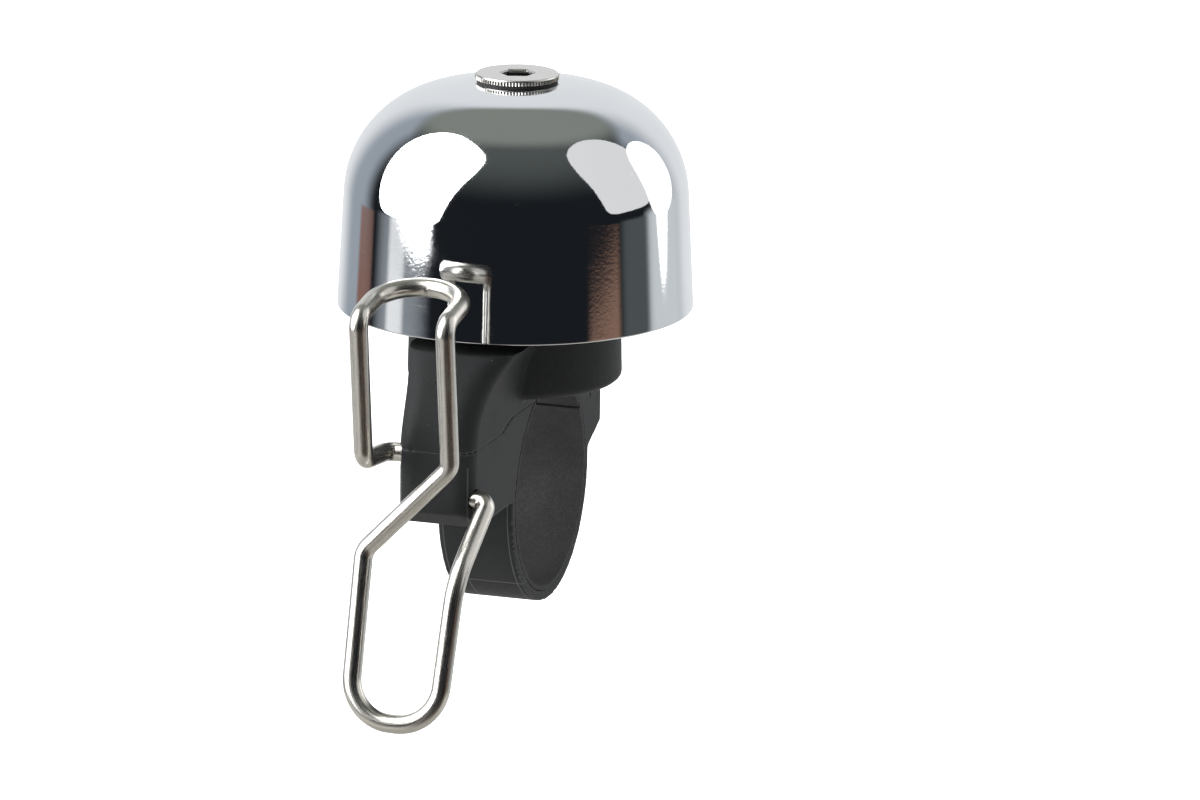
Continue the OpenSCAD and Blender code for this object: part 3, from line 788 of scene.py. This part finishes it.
def wire_route(s):
    """Corner points and bend radii of the two pieces of wire. Depths are from the front of the
    clamp's block, which is at front, and heights are from the middle of the handlebar."""
    foot_out, top_out = 4.2 * MM, 13.25 * MM
    loop_top_out, loop_top_up = 4 * MM, -0.75 * MM
    knee_out, knee_up, knee_right = 5.7 * MM, -2.7 * MM, 1.25 * MM
    foot_lift = 0.4 * MM
    pin_depth = 3.4 * MM
    left_gap, right_gap = 0.5 * MM, 0.3 * MM
    leg_end_up = 4.2 * MM
    split_share = 0.42
    soft, softer, knee_bend, hook_bend = 1 * MM, 1.2 * MM, 7 * MM, 0.1 * MM
    pin_bend, loop_slack, arch_slack = 0.3 * MM, 0.1 * MM, 0.02 * MM
    r = s.wire_radius
    half_w = LOWER_HI.x
    front = LOWER_LO.y
    left = WIRE_LO.x + r
    right = left + s.frame_width
    foot_y = front - foot_out
    top_y = -(DOME_HI.x + top_out)
    reach = s.arch_straight + s.frame_width / 2
    arch_y = top_y + reach * math.cos(s.arch_tilt)
    arch_z = s.frame_top + reach * math.sin(s.arch_tilt)
    loop_y, loop_z = WIRE_LO.y + r, WIRE_LO.z + r
    loop_top_y = front - loop_top_out
    knee = Vector((right + knee_right, front - knee_out, knee_up))
    loop_right = Vector((right + 0.2 * MM, loop_y, loop_z))
    split = loop_right.lerp(knee, split_share)
    frame_points = [
        (-half_w + pin_depth, PIN.y, PIN.z), (-half_w - left_gap - r, PIN.y, PIN.z),
        (left, foot_y, PIN.z + foot_lift), (left, top_y, s.frame_top),
        (left, arch_y, arch_z), (right, arch_y, arch_z),
        (right, top_y, s.frame_top), (right, foot_y, PIN.z + foot_lift),
        (left, loop_top_y, loop_top_up), (left, loop_y, loop_z), loop_right, split,
    ]
    tight = r + s.bend_in
    half = s.frame_width / 2
    arch = half - arch_slack
    frame_bends = [0, r + pin_bend, tight, tight, arch, arch, tight, r + soft,
                   r + softer, half - loop_slack, half - loop_slack, 0]
    leg_points = [split, knee, (half_w + right_gap + r, PIN.y, leg_end_up),
                  (half_w - pin_depth, PIN.y, leg_end_up)]
    leg_bends = [0, r + knee_bend, r + hook_bend, 0]
    return (frame_points, frame_bends), (leg_points, leg_bends)


def wire_tree():
    """Bends a wire along a line of corners, each with its own bend radius."""
    if "bent wire" in bpy.data.node_groups:
        return bpy.data.node_groups["bent wire"]
    tree, into, out = shape_tree("bent wire", ("Wire radius", "Float"), ("Sides", "Int"),
                                 ("Bend steps", "Int"))
    line = node(tree, "GeometryNodeMeshToCurve")
    link(tree, into.outputs["Geometry"], line.inputs["Mesh"])
    bend = node(tree, "GeometryNodeInputNamedAttribute", data_type="FLOAT")
    bend.inputs["Name"].default_value = "bend_radius"
    fillet = node(tree, "GeometryNodeFilletCurve", mode="POLY")
    link(tree, line.outputs["Curve"], fillet.inputs["Curve"])
    link(tree, into.outputs["Bend steps"], fillet.inputs["Count"])
    link(tree, bend.outputs["Attribute"], fillet.inputs["Radius"])
    run = node(tree, "GeometryNodeSplineParameter")
    keep_run = node(tree, "GeometryNodeCaptureAttribute")
    keep_run.capture_items.new("FLOAT", "Run")
    link(tree, fillet.outputs["Curve"], keep_run.inputs["Geometry"])
    link(tree, run.outputs["Length"], keep_run.inputs["Run"])
    ring = node(tree, "GeometryNodeCurvePrimitiveCircle", mode="RADIUS")
    link(tree, into.outputs["Sides"], ring.inputs["Resolution"])
    link(tree, into.outputs["Wire radius"], ring.inputs["Radius"])
    at = node(tree, "GeometryNodeInputPosition")
    keep_at = node(tree, "GeometryNodeCaptureAttribute")
    keep_at.capture_items.new("VECTOR", "At")
    link(tree, ring.outputs["Curve"], keep_at.inputs["Geometry"])
    link(tree, at.outputs[0], keep_at.inputs["At"])
    sweep = node(tree, "GeometryNodeCurveToMesh")
    link(tree, keep_run.outputs["Geometry"], sweep.inputs["Curve"])
    link(tree, keep_at.outputs["Geometry"], sweep.inputs["Profile Curve"])
    sweep.inputs["Fill Caps"].default_value = True
    split = node(tree, "ShaderNodeSeparateXYZ")
    link(tree, keep_at.outputs["At"], split.inputs[0])
    join = node(tree, "ShaderNodeCombineXYZ")
    link(tree, split.outputs["X"], join.inputs["X"])
    link(tree, split.outputs["Y"], join.inputs["Y"])
    link(tree, keep_run.outputs["Run"], join.inputs["Z"])
    store = node(tree, "GeometryNodeStoreNamedAttribute", data_type="FLOAT_VECTOR",
                 domain="POINT")
    store.inputs["Name"].default_value = "wire_place"
    link(tree, sweep.outputs["Mesh"], store.inputs["Geometry"])
    link(tree, join.outputs[0], store.inputs["Value"])
    corners = node(tree, "GeometryNodeInputMeshFaceNeighbors")
    wall = node(tree, "FunctionNodeCompare", data_type="INT", operation="LESS_EQUAL")
    link(tree, corners.outputs["Vertex Count"], wall.inputs[2])
    wall.inputs[3].default_value = 4
    smooth = node(tree, "GeometryNodeSetShadeSmooth", domain="FACE")
    link(tree, store.outputs["Geometry"], smooth.inputs["Geometry"])
    link(tree, wall.outputs[0], smooth.inputs["Shade Smooth"])
    real = node(tree, "GeometryNodeRealizeInstances")
    link(tree, smooth.outputs[0], real.inputs[0])
    coated(tree, into, out, real.outputs[0])
    return tree


def bent_wire(name, points, bends, s, finish):
    mesh = bpy.data.meshes.new(name + "_line")
    mesh.from_pydata([tuple(p) for p in points], [(i, i + 1) for i in range(len(points) - 1)], [])
    radius = mesh.attributes.new("bend_radius", "FLOAT", "POINT")
    radius.data.foreach_set("value", bends)
    line = add_object(name + "_line", mesh)
    with_inputs(line, wire_tree(), Wire_radius=s.wire_radius, Sides=s.sides,
                Bend_steps=s.bend_steps, Finish=finish)
    piece = finished(line, name)
    shape = bmesh.new()
    shape.from_mesh(piece.data)
    if shape.calc_volume(signed=True) < 0:
        bmesh.ops.reverse_faces(shape, faces=shape.faces)
        shape.to_mesh(piece.data)
    shape.free()
    return piece


class BELL_OT_wire(bpy.types.Operator):
    """Bends the striker frame with its finger loop, and the springy return leg"""

    bl_idname = "bell.wire"
    bl_label = "Wire lever"

    def execute(self, context):
        s = context.scene.bell_wire
        finish = drawn_steel(s.steel)
        (points, bends), (leg_points, leg_bends) = wire_route(s)
        striker = bent_wire("striker_frame", points, bends, s, finish)
        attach(striker, "lever")
        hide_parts("striker_wire")
        leg = bent_wire("return_spring", leg_points, leg_bends, s, finish)
        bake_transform(leg)
        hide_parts("return_leg")
        return {"FINISHED"}


# ---------- clamp bodies


def moulded_copy(name, cad_node, s):
    """The CAD solid with the soft edges of a moulded part."""
    mesh = frame["nodes"][cad_node].data.copy()
    shape = bmesh.new()
    shape.from_mesh(mesh)
    bmesh.ops.remove_doubles(shape, verts=shape.verts, dist=0.001 * MM)
    shape.to_mesh(mesh)
    shape.free()
    piece = add_object(name + "_blank", mesh)
    grid = piece.modifiers.new("even grid", "REMESH")
    grid.mode = "VOXEL"
    grid.voxel_size = s.detail
    grid.use_smooth_shade = True
    soft = piece.modifiers.new("soft edges", "SMOOTH")
    soft.factor = 0.5
    soft.iterations = s.softness
    piece = finished(piece, name)
    piece.data.shade_smooth()
    mark_edges(piece.data)
    return piece


def mark_edges(mesh):
    """Stores how sharply the surface turns outwards at each point, from 0 to 1."""
    count = len(mesh.vertices)
    at = np.empty(count * 3)
    mesh.vertices.foreach_get("co", at)
    at = at.reshape(-1, 3)
    facing = np.empty(count * 3, dtype=np.float32)
    mesh.vertex_normals.foreach_get("vector", facing)
    facing = facing.reshape(-1, 3)
    ends = np.empty(len(mesh.edges) * 2, dtype=np.int32)
    mesh.edges.foreach_get("vertices", ends)
    a, b = ends.reshape(-1, 2).T
    drop = np.zeros(count)
    span = np.zeros(count)
    step = at[b] - at[a]
    reach = np.linalg.norm(step, axis=1)
    np.add.at(drop, a, -(step * facing[a]).sum(1))
    np.add.at(drop, b, (step * facing[b]).sum(1))
    np.add.at(span, a, reach)
    np.add.at(span, b, reach)
    full_turn, ignored, tiny = 0.22, 0.35, 1e-9
    turn = np.clip(drop / np.maximum(span, tiny) / full_turn - ignored, 0, 1)
    line = mesh.attributes.new("edge_line", "FLOAT", "POINT")
    line.data.foreach_set("value", turn.astype(np.float32))


class BELL_OT_bodies(bpy.types.Operator):
    """Makes the two moulded halves of the clamp"""

    bl_idname = "bell.bodies"
    bl_label = "Clamp halves"

    def execute(self, context):
        s = context.scene.bell_body
        upper = moulded_copy("upper_half", "upper_body", s)
        paint(upper, moulded_plastic("moulded black plastic", s.plastic))
        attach(upper, "clamp")
        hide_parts("upper_body")
        lower = moulded_copy("lower_half", "lower_body", s)
        edge_in, edge_top, across_z, down_x = 0.55 * MM, 8 * MM, -8.9 * MM, -1.9 * MM
        edge = LOWER_HI.x - edge_in
        low, high = LOWER_LO.z - MM, LOWER_HI.z
        # witness lines on the strap: raised, and painted lighter as painted sheen
        lines = (("X", edge, low, edge_top), ("X", -edge, low, edge_top),
                 ("Z", across_z, low, high), ("X", down_x, low, across_z))
        paint(lower, moulded_plastic("moulded black strap", s.plastic, lines))
        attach(lower, "clamp")
        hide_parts("lower_body")
        return {"FINISHED"}


class BELL_OT_hardware(bpy.types.Operator):
    """Gives the liners, screws, washers, post and bush their finishes"""

    bl_idname = "bell.hardware"
    bl_label = "Hardware"

    def execute(self, context):
        s = context.scene.bell_body
        lo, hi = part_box("clamp_screw")
        clamp_axis = ((lo.x + hi.x) / 2, (lo.y + hi.y) / 2, 0)
        rubber = soft_rubber("ribbed rubber", s.rubber)
        finishes = {
            "upper_liner": rubber,
            "lower_liner": rubber,
            "top_washer": soft_rubber("dark fibre washer", s.rubber),
            "clamp_screw": turned_metal("plated screw steel", s.zinc, (0.24, 0.38), clamp_axis),
            "clamp_washer": turned_metal("plated washer steel", s.zinc, (0.28, 0.42), clamp_axis),
            "brass_insert": turned_metal("turned brass", s.brass, (0.25, 0.4), clamp_axis),
            "post": turned_metal("turned post steel", s.zinc, (0.26, 0.42)),
            "seat_washer": turned_metal("plated seat washer", s.zinc, (0.25, 0.4)),
            "isolating_bush": milky_nylon(s.nylon),
        }
        for name, finish in finishes.items():
            paint(frame["nodes"][name], finish)
        return {"FINISHED"}


# ---------- stage


def towards(azimuth, elevation):
    """Unit vector. Azimuth 0 points to the front, -Y, and 90 to +X."""
    a, e = math.radians(azimuth), math.radians(elevation)
    return Vector((math.sin(a) * math.cos(e), -math.cos(a) * math.cos(e), math.sin(e)))


def soft_light(name, azimuth, elevation, across, along, strength, top, foot, far=0.62):
    """A glowing panel that faces the bell. across and along are tangents of half its width
    and height as seen from the bell; top and foot say how square its two halves are."""
    points = []
    corners = 72
    for k in range(corners):
        c, s = math.cos(math.tau * k / corners), math.sin(math.tau * k / corners)
        power = 2 / (top if s > 0 else foot)
        points.append((math.copysign(abs(c) ** power, c) * across * far,
                       math.copysign(abs(s) ** power, s) * along * far, 0))
    mesh = bpy.data.meshes.new(name)
    mesh.from_pydata(points, [], [range(corners)])
    way = towards(azimuth, elevation)
    mesh.transform(Matrix.Translation(Vector((0, 0, DOME_LO.z)) + way * far)
                   @ way.to_track_quat("Z", "Y").to_matrix().to_4x4())
    made = add_object(name, mesh)
    glow = bpy.data.materials.new(name)
    glow.use_nodes = True
    tree = glow.node_tree
    tree.nodes.clear()
    light = node(tree, "ShaderNodeEmission")
    light.inputs["Strength"].default_value = strength
    link(tree, light.outputs[0], node(tree, "ShaderNodeOutputMaterial").inputs["Surface"])
    paint(made, glow)
    made.visible_camera = False
    made.visible_shadow = False
    return made


def studio_world():
    """Soft surroundings: pale behind and below, grey above, and dark where the viewer stands."""
    world = bpy.data.worlds.new("studio")
    bpy.context.scene.world = world
    world.use_nodes = True
    tree = world.node_tree
    tree.nodes.clear()
    way = node(tree, "ShaderNodeTexCoord").outputs["Generated"]
    split = node(tree, "ShaderNodeSeparateXYZ")
    link(tree, way, split.inputs[0])
    up = split.outputs["Z"]

    def nearness(azimuth, elevation, from_cos, to_cos):
        dot = node(tree, "ShaderNodeVectorMath", operation="DOT_PRODUCT")
        link(tree, way, dot.inputs[0])
        dot.inputs[1].default_value = towards(azimuth, elevation)
        return ranged(tree, dot.outputs["Value"], from_cos, to_cos)

    def low(azimuth, from_cos, to_cos, from_up=-0.125, to_up=-0.165):
        """A soft patch just below the level of the eye."""
        return maths(tree, "MULTIPLY", nearness(azimuth, -10, from_cos, to_cos),
                     ranged(tree, up, to_up, from_up, 1.0, 0.0))

    front = mixed(tree, ranged(tree, up, 0.25, 1.0), (0.011, 0.013, 0.016, 1),
                  (0.092, 0.104, 0.10, 1))
    ceiling = mixed(tree, nearness(-162, 65, 0.75, 0.9), front, (0.245, 0.265, 0.24, 1))
    sweep = mixed(tree, nearness(-165, 0, 0.22, 0.5), ceiling, (0.36, 0.40, 0.45, 1))
    back = mixed(tree, nearness(-168, 5, 0.6, 0.88), sweep, (0.84, 0.86, 0.88, 1))
    wall = mixed(tree, ranged(tree, up, 0.62, 0.74, 1.0, 0.0), ceiling, back)
    ground = mixed(tree, nearness(38, -12, 0.6, 0.86), (0.78, 0.77, 0.74, 1),
                   (0.075, 0.06, 0.05, 1))
    ground = mixed(tree, ranged(tree, up, -0.85, -0.6, 1.0, 0.0), ground, (0.55, 0.54, 0.51, 1))
    below = mixed(tree, ranged(tree, up, -0.36, -0.22, 1.0, 0.0), wall, ground)
    for patch, glow in (
        (low(-62, 0.90, 0.99), (0.30, 0.33, 0.36, 1)),
        (low(-66, 0.988, 0.998), (0.95, 0.96, 0.97, 1)),
        (low(134, 0.915, 0.985, -0.03, -0.15), (0.66, 0.70, 0.72, 1)),
        (low(104, 0.97, 0.995, -0.11, -0.155), (0.085, 0.098, 0.10, 1)),
        (low(79, 0.972, 0.99, -0.14, -0.153), (0.27, 0.16, 0.118, 1)),
        (low(-98, 0.985, 0.996, -0.14, -0.19), (0.26, 0.14, 0.11, 1)),
    ):
        below = mixed(tree, patch, below, glow)
    show = node(tree, "ShaderNodeLightPath")
    seen = mixed(tree, show.outputs["Is Camera Ray"], below, (1, 1, 1, 1))
    back_node = node(tree, "ShaderNodeBackground")
    link(tree, seen, back_node.inputs["Color"])
    out = node(tree, "ShaderNodeOutputWorld")
    link(tree, back_node.outputs[0], out.inputs["Surface"])


class BELL_OT_stage(bpy.types.Operator):
    """Sets up the floor, the soft lights, the surroundings and the camera"""

    bl_idname = "bell.stage"
    bl_label = "Stage"

    def execute(self, context):
        s = context.scene.bell_stage
        mesh = bpy.data.meshes.new("floor")
        reach, z = 4.0, CAD_BOX[0].z - s.floor_drop
        mesh.from_pydata([(-reach, -reach, z), (reach, -reach, z), (reach, reach, z),
                          (-reach, reach, z)], [], [(0, 1, 2, 3)])
        floor = add_object("floor", mesh)
        pale, tree, shader, place, bump = material("pale floor")
        put(shader, "Base Color", rgba(s.floor))
        put(shader, "Roughness", 0.8)
        put(shader, "Emission Color", (1, 1, 1, 1))
        put(shader, "Emission Strength", 0.82)
        roughen(bump, noise(tree, place, 300.0), 0.05, 0.0001)
        paint(floor, pale)
        floor.visible_glossy = False
        soft_light("key_softbox", -57, 31, 0.57, 0.80, s.key, 3.4, 9)
        side = soft_light("side_softbox", 100, 32, 0.42, 0.63, s.side, 2.3, 6)
        side.visible_diffuse = False
        soft_light("rim_softbox", 131.5, 14, 0.28, 0.44, s.rim, 2.2, 2.6, far=0.6)
        studio_world()
        # the camera looks down at the bell from its front right
        yaw, pitch, roll = 18.231, 14.344, 0.684
        far, shift_right, shift_up = 0.9, 9.277 * MM, 8.531 * MM
        a, e, r = (math.radians(v) for v in (yaw, pitch, roll))
        right = Vector((math.cos(a), math.sin(a), 0))
        ahead = Vector((-math.sin(a) * math.cos(e), math.cos(a) * math.cos(e), -math.sin(e)))
        upright = Vector((-math.sin(a) * math.sin(e), math.cos(a) * math.sin(e), math.cos(e)))
        x = math.cos(r) * right + math.sin(r) * upright
        y = -math.sin(r) * right + math.cos(r) * upright
        data = bpy.data.cameras.new("camera")
        data.lens, data.sensor_width, data.sensor_fit = 251.3, 36, "HORIZONTAL"
        data.clip_start, data.clip_end = 0.05, 20
        camera = bpy.data.objects.new("camera", data)
        bpy.context.scene.collection.objects.link(camera)
        spot = shift_right * x + shift_up * y - far * ahead
        turn = Matrix((x, y, -ahead)).transposed().to_4x4()
        camera.matrix_world = Matrix.Translation(spot) @ turn
        context.scene.camera = camera
        context.scene.view_settings.view_transform = "Standard"
        return {"FINISHED"}


# ---------- panel and registration

SETTINGS = (
    ("bell_dome", BellDomeSettings),
    ("bell_screw", BellScrewSettings),
    ("bell_wire", BellWireSettings),
    ("bell_body", BellBodySettings),
    ("bell_stage", BellStageSettings),
)
OPERATORS = (BELL_OT_stage, BELL_OT_dome, BELL_OT_dome_screw, BELL_OT_wire, BELL_OT_bodies,
             BELL_OT_hardware)


class BELL_PT_panel(bpy.types.Panel):
    """Lists the bell's pieces and their sizes"""

    bl_label = "Bicycle bell"
    bl_idname = "BELL_PT_panel"
    bl_space_type = "VIEW_3D"
    bl_region_type = "UI"
    bl_category = "Bell"

    def draw(self, context):
        for operator in OPERATORS:
            self.layout.operator(operator.bl_idname)
        for key, group in SETTINGS:
            box = self.layout.box()
            for name in group.__annotations__:
                box.prop(getattr(context.scene, key), name)


def register():
    for key, group in SETTINGS:
        bpy.utils.register_class(group)
        setattr(bpy.types.Scene, key, bpy.props.PointerProperty(type=group))
    for made in (*OPERATORS, BELL_PT_panel):
        bpy.utils.register_class(made)


def unregister():
    for made in (BELL_PT_panel, *reversed(OPERATORS)):
        bpy.utils.unregister_class(made)
    for key, group in reversed(SETTINGS):
        delattr(bpy.types.Scene, key)
        bpy.utils.unregister_class(group)


def main():
    register()
    bpy.ops.bell.stage()
    bpy.ops.bell.dome()
    bpy.ops.bell.dome_screw()
    bpy.ops.bell.wire()
    bpy.ops.bell.bodies()
    bpy.ops.bell.hardware()


if __name__ == "__main__":
    main()
